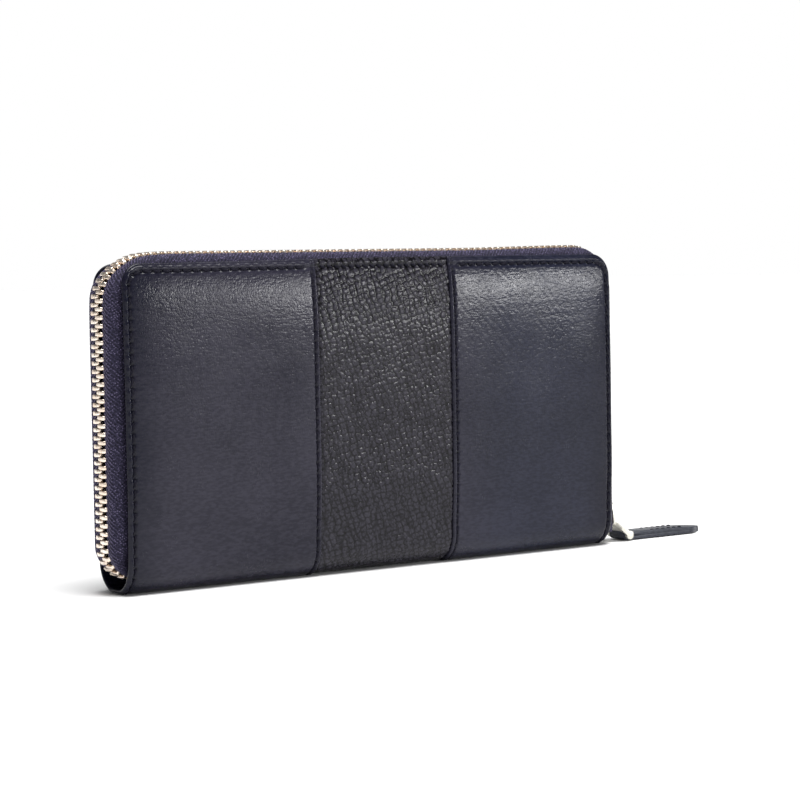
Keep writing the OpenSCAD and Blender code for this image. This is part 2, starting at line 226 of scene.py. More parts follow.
def curve_through(points, steps):
    """Catmull-Rom curve through the points."""
    p = [2 * np.array(points[0]) - points[1]] + [np.array(q, float) for q in points]
    p.append(2 * p[-1] - p[-2])
    out = []
    for a, b, c, d in zip(p[:-3], p[1:-2], p[2:-1], p[3:]):
        for t in np.arange(steps) / steps:
            out.append(0.5 * (2 * b + (c - a) * t + (2 * a - 5 * b + 4 * c - d) * t ** 2
                              + (3 * b - a - 3 * c + d) * t ** 3))
    return np.array(out + [p[-2]])


def normals(line):
    """Unit normals of a flat curve, on the left of its direction."""
    tangent = np.gradient(line, axis=0)
    tangent /= np.linalg.norm(tangent, axis=1)[:, None]
    return np.stack([-tangent[:, 1], tangent[:, 0]], 1)


def distances(line):
    """Distance along a flat curve at each of its points."""
    return np.concatenate([[0], np.cumsum(np.hypot(*np.diff(line, axis=0).T))])


def rides(obj, body, *nodes):
    """Declares a piece that moves with one body, and the CAD nodes that it stands for."""
    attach(obj, body)
    if nodes:
        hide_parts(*nodes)


def bends(obj, side, bend, *nodes):
    """Bakes a piece's placement into its mesh, and hides the CAD nodes that it stands for."""
    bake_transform(obj)
    if nodes:
        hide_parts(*nodes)


# ---- relief

# Scattered points repeat after this many cells each way.
FIELD = (97, 89)


def smooth(t):
    t = np.clip(t, 0, 1)
    return t * t * (3 - 2 * t)


def bell(d, at, width):
    return np.exp(-((d - at) / width) ** 2)


def hollow(d, at, width, depth):
    return -depth * bell(d, at, width)


def turned_edge(d, thickness, radius=0.6):
    """Half the thickness at distance d from a rounded edge."""
    return thickness / 2 * np.sqrt(np.clip(1 - (1 - np.clip(d / radius, 0, 1)) ** 2, 0, 1))


def dents(u, v, holes, radius, depth):
    """Small dents round stitch holes."""
    total = np.zeros_like(u)
    for hu, hv in holes:
        near = (abs(u - hu) < 3 * radius) & (abs(v - hv) < 3 * radius)
        total[near] -= depth * np.exp(-((u[near] - hu) ** 2 + (v[near] - hv) ** 2) / radius ** 2)
    return total


def cells(x, y, size, seed, jitter=0.85, stagger=0.5):
    """Distance to the nearest and second nearest of scattered points, and the nearest one's own number."""
    px, py = x / size[0], y / size[1]
    ix, iy = np.floor(px).astype(int), np.floor(py).astype(int)
    table = np.random.default_rng(seed).random((*FIELD, 3))
    first = np.full(x.shape, np.inf)
    second = np.full(x.shape, np.inf)
    own = np.zeros(x.shape)
    for dx in (-1, 0, 1):
        for dy in (-1, 0, 1):
            jx, jy = ix + dx, iy + dy
            pick = table[jx % FIELD[0], jy % FIELD[1]]
            cx = jx + 0.5 + jitter * (pick[..., 0] - 0.5) + stagger * (jy % 2)
            cy = jy + 0.5 + jitter * (pick[..., 1] - 0.5)
            dist = np.hypot(px - cx, py - cy)
            nearer = dist < first
            second = np.where(nearer, first, np.minimum(second, dist))
            own = np.where(nearer, pick[..., 2], own)
            first = np.where(nearer, dist, first)
    return first, second, own


def waves(x, y, seed, length, octaves=3):
    """Smooth noise from a few random sine waves, about -1 to 1."""
    r = np.random.default_rng(seed)
    total = np.zeros_like(x, dtype=float)
    for k in range(octaves * 4):
        angle, phase = r.random(2) * 2 * math.pi
        wave = length * (0.6 + 0.9 * r.random())
        total += np.sin((x * math.cos(angle) + y * math.sin(angle)) * 2 * math.pi / wave + phase)
    return total / math.sqrt(octaves * 8)


# The stripe's pebbles: size of a large and a small one, and the share of it over which its edge rounds off.
# Steep creases run between them, and the large ones give way to small ones down the stripe.
LARGE_PEBBLE, LARGE_EDGE = (2.3, 2.0), 0.34
SMALL_PEBBLE, SMALL_EDGE = (1.15, 1.25), 0.5
CREASE_PITCH, CREASE_W, CREASE_LEAN = 2.7, 0.42, 0.42
COARSE_TO, COARSE_FADE = 29, 17


def pebbles(x, y):
    """Pebbled grain, 0 in the creases and 1 on the pebbles: steep creases cross a finer grain."""
    lean = 0.3 * y + 0.9 * waves(x, y, 11, 17)
    near, next_near, own = cells(x - lean, y + 0.3 * x, LARGE_PEBBLE, 3, 0.55, 0)
    large = np.clip((next_near - near) / LARGE_EDGE, 0, 1) ** 0.8 * (0.8 + 0.2 * own) * (1 - 0.5 * near ** 2)
    near, next_near, own = cells(x - 0.6 * lean + 0.4 * waves(x, y, 12, 6), y, SMALL_PEBBLE, 5)
    small = np.clip((next_near - near) / SMALL_EDGE, 0, 1) ** 0.9 * (0.7 + 0.3 * own)
    coarse = 0.3 + 0.7 * smooth((COARSE_TO - y) / COARSE_FADE + 0.25 * waves(x, y, 13, 30))
    along = (x - CREASE_LEAN * y + 0.9 * waves(x, y, 14, 9)) / CREASE_PITCH
    crease = bell((along - np.round(along)) * CREASE_PITCH, 0, CREASE_W) * (0.6 + 0.4 * waves(x, y, 15, 8))
    grain = coarse * large + (1 - coarse) * (0.35 * large + 0.65 * small)
    return grain * (1 - 0.9 * (0.3 + 0.7 * coarse) * crease)


# ---- the cover's skin

# How far the zip holds a cover's top edge up at the left, how much more at the right, and how it fades.
HELD_LEFT, HELD_MORE, TOP_FADE = 0.3, 0.85, 8

# How far the padding lifts a cover's face, its slow waves, and how far the face falls back to its edges.
PADDING, UNEVEN, FALL, FALL_LESS_AT_FOOT = 1.0, 0.16, 2.4, 1.4
FOOT_FROM, FOOT_FADE = 70, 20


def skin(x, v, depth):
    """Point of the front skin, straight down the face and then round under the spine."""
    r = HALF_T - depth
    turn = np.clip((v - FACE_RUN) / HALF_T, 0, FOOT_ANGLE)
    flat = np.clip((v - FACE_RUN - HALF_T * FOOT_ANGLE) / REST_FLAT, 0, 1)
    y = -r * np.cos(turn) * (1 - flat)
    held_up = (HELD_LEFT + HELD_MORE * smooth(0.9 * (x / HALF_W + 1))) * np.exp(-np.maximum(v, 0) / TOP_FADE)
    z = SPINE_Z - r * np.sin(turn) + np.maximum(FACE_RUN - v, 0) + held_up
    return np.stack(np.broadcast_arrays(x, y, z), -1)


def puff(u, v):
    """How far the face stands out over its padding, and falls back towards its top and side edges."""
    top = np.exp(-v / TOP_FADE)
    side = 0.4 * np.exp(-u / 4)
    foot = 1 - smooth((v - FOOT_FROM) / FOOT_FADE)
    face = PADDING * foot + UNEVEN * waves(u, v, 21, 46) * foot * np.clip(v / 20, 0, 1)
    return face - (FALL - FALL_LESS_AT_FOOT * (1 - foot)) * (1 - (1 - top) * (1 - side))


def rounded_corner(u, v):
    """Moves a square corner's points on to a round one; gives them and their distance from the edge."""
    inside = (u < CORNER_R) & (v < CORNER_R)
    p = np.where(inside, 1 - u / CORNER_R, 0)
    q = np.where(inside, 1 - v / CORNER_R, 0)
    p2, q2 = p * np.sqrt(1 - q * q / 2), q * np.sqrt(1 - p * p / 2)
    edge = np.where(inside, CORNER_R * (1 - np.hypot(p2, q2)), np.minimum(u, v))
    return np.where(inside, CORNER_R * (1 - p2), u), np.where(inside, CORNER_R * (1 - q2), v), edge


def edge_route(inset_side, inset_top, length, foot):
    """Stitch holes at even steps up the side edge, round the corner and along the top."""
    radius = CORNER_R - (inset_side + inset_top) / 2
    side, turn, top = foot - CORNER_R, radius * math.pi / 2, length - CORNER_R
    holes = []
    for k in range(int((side + turn + top) / STITCH_PITCH) + 1):
        s = k * STITCH_PITCH
        if s < side:
            holes.append((inset_side, foot - s))
        elif s < side + turn:
            a = (s - side) / radius
            reach_u, reach_v = CORNER_R - inset_side, CORNER_R - inset_top
            holes.append((CORNER_R - reach_u * math.cos(a), CORNER_R - reach_v * math.sin(a)))
        else:
            holes.append((CORNER_R + s - side - turn, inset_top))
    return holes


def straight_route(start, end, pitch=STITCH_PITCH):
    count = int(math.dist(start, end) / pitch)
    return [tuple(np.array(start) + (np.array(end) - start) * k / count) for k in range(count + 1)]


# Holes of the stitches, and the bumps that the leather makes beside them.
PANEL_W = HALF_W - HALF_STRIPE
EDGE_END, EDGE_FOOT = PANEL_W - 1.2, SKIN_RUN - 1.5
BUMP_OUT = 0.9
EDGE_HOLES = edge_route(SIDE_STITCH, TOP_STITCH, EDGE_END, EDGE_FOOT)
EDGE_BUMPS = edge_route(SIDE_STITCH - BUMP_OUT, TOP_STITCH - BUMP_OUT, EDGE_END, EDGE_FOOT - STITCH_PITCH / 2)
SEAM_HOLES = straight_route((PANEL_W - SEAM_STITCH, 4.4), (PANEL_W - SEAM_STITCH, SKIN_RUN - 1))
STRIPE_PITCH = 2.6
STRIPE_HOLES = straight_route((-HALF_STRIPE + 1.5, TOP_STITCH), (HALF_STRIPE - 1.5, TOP_STITCH), STRIPE_PITCH)
STRIPE_BUMPS = [(x + STRIPE_PITCH / 2, TOP_STITCH - 1.2) for x, v in STRIPE_HOLES]

# Depth of each smooth panel's slanting creases, and their width and how drawn out they are.
CREASED = {"left": 0.005, "right": 0.025}
STROKE_W, STROKE_DRAWN = 1.7, 0.42

PANEL_STEP = 0.45
STRIPE_STEP = 0.27
STRIPE_TUCK = 0.25


def panel_relief(u, v, edge, creased):
    """Height of a smooth panel's outer face over its flat place; creased is its creases' depth."""
    strokes = waves(0.8 * u + 0.6 * v, (0.8 * v - 0.6 * u) * STROKE_DRAWN, 31, STROKE_W, 2)
    strokes = strokes * (0.45 + 0.55 * np.exp(-v / 30)) * smooth((edge - 3) / 3)
    seam = PANEL_W - u
    stitch_in = np.where(v < u, TOP_STITCH, SIDE_STITCH)
    border = (0.2 * bell(edge, stitch_in - 1.1, 0.6) + hollow(edge, 0.65, 0.2, 0.14)
              + hollow(edge, stitch_in, 0.5, 0.34))
    fold = 0.16 * bell(seam, 0.7, 0.4) + hollow(seam, SEAM_STITCH, 0.32, 0.4)
    pulled = dents(u, v, EDGE_HOLES + SEAM_HOLES, 0.6, 0.55) + dents(u, v, EDGE_BUMPS, 0.7, -0.2)
    return border + fold + creased * strokes + pulled


def leather_panel(side, end):
    u, v = crossed(ticks(PANEL_W, PANEL_STEP), ticks(SKIN_RUN, PANEL_STEP, end=False))
    u, v, edge = rounded_corner(u, v)
    rim = np.minimum(np.minimum(edge, PANEL_W - u), np.maximum(SKIN_RUN - v, 0) * 20)
    half = turned_edge(rim, LEATHER_T)
    middle = LEATHER_T / 2 - puff(u, v)
    x = ENDS[end] * (HALF_W - u)
    outer = skin(x, v, middle - half - panel_relief(u, v, edge, CREASED[end]) * smooth(rim / 0.6))
    inner = skin(x, v, middle + half)
    obj = shell(f"{side}_smooth_panel_{end}", side, [(outer, inner)], "smooth_leather", np.stack([u, v], -1))
    bends(obj, side, SKIN_BEND, f"{side}_leather_{end}", f"spine_leather_{end}")


def stripe_relief(x, v, grain):
    """Pebbles that flatten towards the folded top and the side seams, and down the stripe."""
    calm = 0.45 + 0.55 * smooth((v - 2.5) / 3)
    height = 0.25 - 0.14 * smooth((v - 12) / 14) + 0.05 * smooth((v - 45) / 15)
    top = 0.12 * bell(v, 1.0, 0.5) + hollow(v, TOP_STITCH, 0.4, 0.25)
    top = top + dents(x, v, STRIPE_HOLES, 0.5, 0.4) + dents(x, v, STRIPE_BUMPS, 0.6, -0.2)
    return height * calm * (grain - 0.8) + top - 0.3 * np.exp(-(HALF_STRIPE - abs(x)) / 0.6)


def stripe_panel(side):
    """The pebbled stripe; its map gives the grain's height to its material."""
    half = HALF_STRIPE + STRIPE_TUCK
    xs = np.linspace(-half, half, int(2 * half / STRIPE_STEP))
    vs = np.concatenate([EDGE_TICKS[:5], np.arange(EDGE_TICKS[5], SKIN_RUN - 0.1, STRIPE_STEP), [SKIN_RUN]])
    x, v = crossed(xs, vs)
    grain = pebbles(x, v)
    thickness = LEATHER_T - STRIPE_DEPTH
    rim = np.minimum(v, np.minimum(half - abs(x), SKIN_RUN - v) * 20)
    body = turned_edge(rim, thickness, 0.5)
    middle = STRIPE_DEPTH + thickness / 2 - puff(HALF_W - abs(x), v)
    outer = skin(x, v, middle - body - stripe_relief(x, v, grain) * smooth(rim / 0.5))
    inner = skin(x, v, middle + body)
    uv = np.stack([grain, v / SKIN_RUN], -1)
    obj = shell(f"{side}_pebbled_stripe", side, [(outer, inner)], "pebbled_leather", uv)
    bends(obj, side, SKIN_BEND, f"{side}_stripe", "spine_stripe")


# ---- stitches

# Places along a stitch, as shares of its length, at which its six-sided section is drawn.
STITCH_STEPS = (0, 0.12, 0.35, 0.65, 0.88, 1)
STITCH_RING = [(math.cos(a), math.sin(a)) for a in np.arange(6) * math.pi / 3]
STITCH_SUNK = 0.2


def thread_run(holes, place, radius=0.4, gap=1.0, rise=0.16, slant=0.4):
    """Points and faces of one slanting stitch between each pair of holes, which dives in at both ends."""
    points, faces = [], []
    sides = range(len(STITCH_RING))
    for (u0, v0), (u1, v1) in zip(holes[:-1], holes[1:]):
        length = math.hypot(u1 - u0, v1 - v0)
        du, dv = (u1 - u0) / length, (v1 - v0) / length
        first = len(points)
        for t in STITCH_STEPS:
            along = gap / 2 + t * (length - gap)
            lift = rise * math.sin(math.pi * t) - STITCH_SUNK
            r = radius * (0.4 if t in (0, 1) else 1)
            for c, s in STITCH_RING:
                shift = slant * (t - 0.5) + c * r
                points.append(place(u0 + du * along - dv * shift, v0 + dv * along + du * shift, lift + s * r))
        last = len(points) - len(STITCH_RING)
        faces += grid_faces(len(STITCH_STEPS), len(STITCH_RING), first, closed_columns=True)
        faces += [[first + k for k in sides][::-1], [last + k for k in sides]]
    return points, faces


def cover_thread(side):
    """All the stitches of one cover, in the grooves of its panels and along the stripe's folded top."""
    def on_panel(end):
        def place(u, v, height):
            depth = -float(puff(np.array(u), np.array(v))) + 0.12 - height
            return tuple(mirrored(skin(ENDS[end] * (HALF_W - u), v, depth), side))
        return place

    def on_stripe(x, v, height):
        depth = STRIPE_DEPTH - float(puff(np.array(HALF_W - abs(x)), np.array(v))) - height
        return tuple(mirrored(skin(x, v, depth), side))

    runs = [thread_run(holes, on_panel(end)) for end in ENDS for holes in (EDGE_HOLES, SEAM_HOLES)]
    points, faces = joined(runs + [thread_run(STRIPE_HOLES, on_stripe)])
    bends(add_mesh(f"{side}_thread", points, faces, "thread"), side, SKIN_BEND)


# ---- the zip

SIDE_RUN = COVER_H - TURN_R - CHAIN_Z0
TURN_RUN = (TURN_R + CHAIN_N) * math.pi / 2
TOP_RUN = 2 * (HALF_W - TURN_R)
CHAIN_RUN = 2 * SIDE_RUN + 2 * TURN_RUN + TOP_RUN
PITCH = CHAIN_RUN / TEETH_PER_ROW
END_RUN = END_R * END_SWEEP
FOOT_RUN = CHAIN_Z0 - 4.2

# How far the zip sinks in at its right and left corners and along the top.
RIGHT_SUNK, LEFT_SUNK, TOP_SUNK = 0.6, 1.4, 0.55

# Middle line of a tape from its hidden sewn edge to the teeth, as distances out from the chain's middle and
# from mid-thickness. Slanting ribs run both ways from a fold across it.
TAPE_T = 0.4
TAPE_STEP = 0.5
TAPE_AT_TEETH = 2.25
TAPE_LINE = curve_through([(-5.2, 7.3), (-3.9, 7.4), (-2.6, 7.3), (-1.3, 6.85), (-0.35, 6.0), (0.05, 5.0),
                           (0.0, 3.9), (0.0, TAPE_AT_TEETH)], 4)
RIB_PITCH = 1.27
RIB_RUN = 1.5
RIB_FOLD = 2.0
RIB_HEIGHT = 0.06
END_TAPER = 0.62


def chain(s):
    """Middle of the chain at distance s from the right foot: its x and z, and the outward direction there."""
    turn_x, turn_z = HALF_W - TURN_R, COVER_H - TURN_R
    mirror, s = (-1, CHAIN_RUN - s) if s > CHAIN_RUN / 2 else (1, s)
    if s < 0 and mirror < 0:
        x, z, r, angle = HALF_W + CHAIN_N - END_R, CHAIN_Z0, END_R, s / END_R
    elif s < SIDE_RUN:
        return mirror * (HALF_W + CHAIN_N), CHAIN_Z0 + s, mirror, 0
    elif s < SIDE_RUN + TURN_RUN:
        x, z, r, angle = turn_x, turn_z, TURN_R + CHAIN_N, (s - SIDE_RUN) / (TURN_R + CHAIN_N)
    else:
        return mirror * (turn_x - (s - SIDE_RUN - TURN_RUN)), COVER_H + CHAIN_N, 0, 1
    out = (math.cos(angle), math.sin(angle))
    return mirror * (x + r * out[0]), z + r * out[1], mirror * out[0], out[1]


def settled(s):
    """How far the zip sinks in at distance s: at the corners, most at the left one, and along the top."""
    right = RIGHT_SUNK * math.exp(-((s - SIDE_RUN - TURN_RUN * 0.4) / 6) ** 2)
    left = LEFT_SUNK * math.exp(-((s - CHAIN_RUN + SIDE_RUN + TURN_RUN * 0.65) / 9) ** 2)
    along = (s - SIDE_RUN - TURN_RUN) / TOP_RUN
    return right + left + float(TOP_SUNK * smooth(along / 0.3) * smooth((1.2 - along) / 0.3))


def zip_tape(side):
    """Woven tape between a cover's edge and its teeth, all the way round and in at the left foot."""
    across = distances(TAPE_LINE)
    normal = normals(TAPE_LINE)
    count = len(TAPE_LINE)
    half = TAPE_T / 2 * np.sqrt(np.clip(1 - (2 * np.arange(count) / (count - 1) - 1) ** 16, 0, 1))
    outer, inner, uv = [], [], []
    for s in np.arange(-FOOT_RUN, CHAIN_RUN + END_RUN, TAPE_STEP):
        x, z, ox, oz = chain(s)
        shrink = 1 - END_TAPER * smooth(max(0, s - CHAIN_RUN) / END_RUN)
        rib = RIB_HEIGHT * np.sin(2 * math.pi * (s / RIB_PITCH + abs(across - RIB_FOLD) / RIB_RUN))
        rib = rib * smooth((across - 2) / 2)
        for face, lift in ((outer, half + rib), (inner, -half)):
            line = TAPE_LINE + normal * lift[:, None]
            n = line[:, 0] * shrink - settled(s) * smooth(across / 3)
            y = TAPE_AT_TEETH + (line[:, 1] - TAPE_AT_TEETH) * (1 - (1 - shrink) * 0.8)
            face.append(np.stack([x + ox * n, -y, z + oz * n], 1))
        uv.append(np.stack([np.full(count, s), across], 1))
    outer, inner = np.array(outer), np.array(inner)
    for end in (0, -1):
        inner[end] = outer[end] = (inner[end] + outer[end]) / 2
    obj = shell(f"{side}_woven_tape", side, [(outer, inner)], "zip_tape", np.array(uv))
    bends(obj, side, ZIP_BEND, f"{side}_zip_tape", "zip_end_tapes_left", "zip_end_tapes_right")


# A tooth's share of the chain's thickness, half its width at the head, how much wider its legs are, and the
# rounding of its rims.
TOOTH_SHARE, TOOTH_HALF, LEGS_MORE, TOOTH_ROUND = 0.94, 0.55, 0.12, 0.27


def tooth_mesh():
    """One tooth of the front row at the origin: local X is outward, Y across the chain and Z along it."""
    root, tip = -CHAIN_HALF_W, TOOTH_REACH
    half = TOOTH_T / 2
    outline = [(-half, root + 0.1), (-half + 0.25, root), (half - 0.3, root), (half - 0.05, root + 0.35),
               (half, root + 1.2), (half, root + 1.8), (half - 0.12, root + 2.5), (half, tip - 0.7),
               (half - 0.15, tip - 0.25), (half - 0.5, tip), (-half + 0.4, tip), (-half, tip - 0.4)]
    work = bmesh.new()
    rings = []
    for face in (-1, 1):
        rings.append([work.verts.new((n * TOOTH_SHARE, y,
                                      face * (TOOTH_HALF + LEGS_MORE * smooth(-(y + 0.7) / 0.7))))
                      for n, y in outline])
    work.faces.new(rings[0])
    work.faces.new(rings[1][::-1])
    for k in range(len(outline)):
        j = (k + 1) % len(outline)
        work.faces.new([rings[0][j], rings[0][k], rings[1][k], rings[1][j]])
    bmesh.ops.recalc_face_normals(work, faces=work.faces)
    rims = [e for e in work.edges if abs(e.verts[0].co.z - e.verts[1].co.z) < 0.01]
    bmesh.ops.bevel(work, geom=rims, offset=TOOTH_ROUND, offset_type="OFFSET", segments=3, profile=0.5,
                    affect="EDGES")
    work.verts.index_update()
    points = np.array([v.co for v in work.verts])
    faces = [[v.index for v in f.verts] for f in work.faces]
    work.free()
    return points, faces


# The first tooth of each row, below the right foot, and where the rows' teeth lie as a share of the pitch.
FIRST_TOOTH = {"front": -3, "back": -4}
TOOTH_SHIFT = {"front": 0.27, "back": 0.77}


def tooth_row(side):
    """A row of teeth all round, with the few that turn in at the left foot and the last at the right one."""
    local, local_faces = tooth_mesh()
    teeth = []
    for k in range(FIRST_TOOTH[side], TEETH_PER_ROW + int(END_RUN / PITCH) + 1):
        place = (k + TOOTH_SHIFT[side]) * PITCH
        x, z, ox, oz = chain(place)
        n, y, s = local[:, 0] - settled(place), local[:, 1], local[:, 2]
        teeth.append((np.stack([x + ox * n - oz * s, y, z + oz * n + ox * s], 1).tolist(), local_faces))
    points, faces = joined(teeth)
    obj = add_mesh(f"{side}_metal_teeth", mirrored(np.array(points), side), faces, "zip_metal")
    bends(obj, side, ZIP_BEND, f"{side}_zip_teeth", "zip_end_teeth_left", "zip_end_teeth_right")


# ---- CAD metal with softened edges

# The CAD node that each metal piece keeps the shape of, and the rounding of its edges.
METAL_PIECES = {
    "slider_case": ("slider_body", 0.16),
    "slider_loop": ("slider_bridge", 0.14),
    "metal_tab": ("pull_tab", 0.13),
    "small_slider_case": ("pocket_slider", 0.08),
    "small_slider_loop": ("pocket_bridge", 0.07),
    "small_metal_tab": ("pocket_pull", 0.12),
}


def metal_piece(name, node, bevel):
    """The CAD node's own shape with rounded edges."""
    source = frame["nodes"][node]
    mesh = source.data.copy()
    mesh.name = name
    mesh.materials.clear()
    mesh.materials.append(MATERIALS["slider_metal"])
    clean(mesh, 2 * WELD, math.radians(2))
    obj = add_object(name, mesh)
    soften = obj.modifiers.new("Soften", "BEVEL")
    soften.width = bevel * MM
    soften.segments = 3
    soften.limit_method = "ANGLE"
    soften.angle_limit = math.radians(35)
    soften.harden_normals = True
    rides(obj, source["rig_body"], node)


# ---- the leather puller

STRAP_LOW, STRAP_HIGH = node_box("puller_strap")
STRAP_T = 1.3
STRAP_TIP = STRAP_HIGH[0] - 1.4
STRAP_Z = STRAP_LOW[2]
STRAP_TOP = STRAP_Z + 1.5 * STRAP_T - 0.08
BAR_X, BAR_Z = node_box("pull_tab")[1][0] - 1.5, 1.972
LOOP_R = 1.28
LAYERS_MEET = BAR_X + 4.6
STRAP_STITCH = 1.1


def strap_route():
    """Side view of the strap: from its tip along the lower layer, round the bar and back on top."""
    tip, meet, low, high = STRAP_TIP, LAYERS_MEET, STRAP_Z + STRAP_T / 2, STRAP_TOP
    lower = [(x, low) for x in (tip, tip - 8, tip - 16, meet + 6, meet, meet - 2.0)]
    loop = [(BAR_X - LOOP_R * math.sin(a), BAR_Z - LOOP_R * math.cos(a))
            for a in np.linspace(-0.15, math.pi + 0.45, 9)]
    upper = [(meet - 1.9, high + 0.3), (meet, high + 0.12), (meet + 6, high + 0.05), (tip - 16, high),
             (tip - 8, high - 0.2), (tip - 0.15, high - 0.6)]
    return curve_through(lower + loop + upper, 8)


def strap_width(x):
    """Half the strap's width at x: it narrows to a blunt point."""
    return STRAP_HIGH[1] * (0.34 + 0.66 * smooth(np.clip((STRAP_TIP - x) / 6, 0, 1)) ** 0.8)


def puller_strap():
    """The strap drawn round its route, with a groove beside each edge and rounded tips."""
    route = strap_route()
    angles = np.linspace(0, 2 * math.pi, 40, endpoint=False)
    across, up = (np.copysign(abs(t) ** 0.25, t) for t in (np.cos(angles), np.sin(angles)))
    rings = []
    for (x, z), (nx, nz) in zip(route, normals(route)):
        half = strap_width(x)
        thick = STRAP_T / 2 + 0.13 * smooth((x - LAYERS_MEET) / 3)
        y = across * half
        h = up * (thick - 0.12 * bell(abs(y), half - STRAP_STITCH, 0.35))
        rings.append(np.stack([x + nx * h, y, z + nz * h], 1))
    first, last = (r.mean(0) + (r - r.mean(0)) * 0.7 + np.array([0.12, 0, 0]) for r in (rings[0], rings[-1]))
    rings = np.array([first] + rings + [last])
    rows, columns = rings.shape[:2]
    faces = grid_faces(rows, columns, closed_columns=True)
    faces += [list(range(columns))[::-1], list(range((rows - 1) * columns, rows * columns))]
    obj = add_mesh("puller_leather", rings.reshape(-1, 3), faces, "puller_leather")
    rides(obj, "puller", "puller_strap")


def puller_thread():
    """Two lines of stitches on the strap's upper face and two on its lower one."""
    half = STRAP_HIGH[1] - STRAP_STITCH
    steps = np.arange(STRAP_TIP - 25, STRAP_TIP - 7, 2.6)
    runs = []
    for level, sign in ((STRAP_TOP + STRAP_T / 2 + 0.08, 1), (STRAP_Z - 0.1, -1)):
        def place(x, y, height, level=level, sign=sign):
            return x, y, level + sign * (height + 0.06)
        runs += [thread_run([(x, y) for x in steps], place, 0.26, 0.9, 0.14, 0) for y in (-half, half)]
    rides(add_mesh("puller_thread", *joined(runs), "thread"), "puller")


# ---- the inside

CARD_ROWS = range(1, 5)
CARD_LOW, CARD_HIGH = node_box("front_card_backing")
CARD_LAYERS = [node_box(f"front_card_row_{row}")[1] for row in CARD_ROWS] + [CARD_HIGH]
CARD_GAP = 0.4
CARD_STITCH = 1.4
WALL_LOW, WALL_HIGH = node_box("pocket_wall_back")
PLATE_STEP = 1.3
PINCH = 1.0
END_T = 0.4
FLOOR_T = 0.6
CLOTH_T = 0.26


def plate(low, high, relief):
    """Both faces of a thin upright piece between two corners; relief lifts the seen one, at high's y."""
    width, height, thickness = high[0] - low[0], high[2] - low[2], high[1] - low[1]
    u, v = crossed(ticks(width, PLATE_STEP), ticks(height, PLATE_STEP))
    rim = np.minimum(np.minimum(u, width - u), np.minimum(v, height - v))
    half = turned_edge(rim, abs(thickness), abs(thickness) * 0.8)
    x, z, middle, toward = low[0] + u, low[2] + v, (high[1] + low[1]) / 2, math.copysign(1, thickness)
    lift = relief(x, z, rim) * smooth(rim / 0.5)
    return np.stack([x, middle + toward * (half + lift), z], -1), np.stack([x, middle - toward * half, z], -1)


def card_rows(side):
    """Four overlapping card pockets in two columns, each with a folded and creased top edge."""
    for row in CARD_ROWS:
        low, high = node_box(f"front_card_row_{row}")

        def fold(x, z, rim, top=high[2], row=row):
            down = top - z
            bow = 0.05 * waves(x, z, 30 + row, 34) * smooth(rim / 6) * np.exp(-down / 9)
            return hollow(down, 1.5, 0.3, 0.09) + 0.09 * bell(down, 0.7, 0.5) + np.maximum(bow, 0)

        plates = [plate((a, *low[1:]), (b, *high[1:]), fold)
                  for a, b in ((-CARD_HIGH[0], -CARD_GAP), (CARD_GAP, CARD_HIGH[0]))]
        obj = shell(f"{side}_card_pocket_{row}", side, plates, "card_leather")
        rides(obj, f"{side}_cover", f"{side}_card_row_{row}")


def card_backing(side):
    def hem(x, z, rim):
        down = CARD_HIGH[2] - z
        return hollow(down, CARD_STITCH, 0.35, 0.09) + 0.08 * bell(down, 3.1, 0.4)

    low = (-CARD_HIGH[0], *CARD_LOW[1:])
    obj = shell(f"{side}_card_panel", side, [plate(low, CARD_HIGH, hem)], "card_leather")
    rides(obj, f"{side}_cover", f"{side}_card_backing")


def card_thread(side):
    """Stitches round the card panel and down both sides of its middle."""
    half, low, high = CARD_HIGH[0] - CARD_STITCH, CARD_LOW[2] + CARD_STITCH, CARD_HIGH[2] - CARD_STITCH

    def place(x, z, height):
        layer = next((top for top in CARD_LAYERS if z < top[2]), CARD_HIGH)
        return tuple(mirrored(np.array([x, layer[1] + 0.05 + height, z]), side))

    ups = [((x, low), (x, high)) for x in (-half, half)]
    levels = [((-half, z), (half, z)) for z in (high, low)]
    middles = [((x, low), (x, CARD_HIGH[2] - 4)) for x in (-1.6, 1.6)]
    runs = [thread_run(straight_route(a, b), place, 0.17, 0.8, 0.12, 0) for a, b in ups + levels + middles]
    rides(add_mesh(f"{side}_card_thread", *joined(runs), "thread"), f"{side}_cover")


def cover_lining(side):
    """Cloth stretched over the board, tucked in all round, with slight puckers at its edge."""
    low, high = node_box("front_lining")

    def pucker(x, z, rim):
        along = np.where(abs(x) > 88, z, x)
        return 0.06 * np.sin(along * 2 * math.pi / 7 + 0.6 * np.sin(along / 5)) * bell(rim, 1.8, 1.2)

    obj = shell(f"{side}_cloth_lining", side, [plate(low, high, pucker)], "lining")
    rides(obj, f"{side}_cover", f"{side}_lining")


def spine_lining():
    """Cloth gutter inside the spine, from one cover's edge down and up to the other's."""
    low, high = node_box("spine_liner")
    board_low, board_high = node_box("front_board")
    thick = board_high[1] - board_low[1]
    x, v = crossed(places(low, high, 0, 1.2), np.append(np.arange(FACE_RUN, SKIN_RUN, PANEL_STEP), SKIN_RUN))
    rim = np.minimum(np.minimum(x - low[0], high[0] - x), v - FACE_RUN)
    soft = 0.05 * waves(x, v, 41, 9) * smooth(rim / 3)
    half = turned_edge(rim, thick, 0.4)
    middle = HALF_T - high[1] + thick / 2
    grids = (skin(x, v, middle - half), skin(x, v, middle + half + soft))
    both = [np.concatenate([g, mirrored(g, "back")[:, -2::-1]], 1) for g in grids]
    obj = shell("spine_cloth_lining", "front", [both], "lining")
    rides(obj, "spine", "spine_liner")


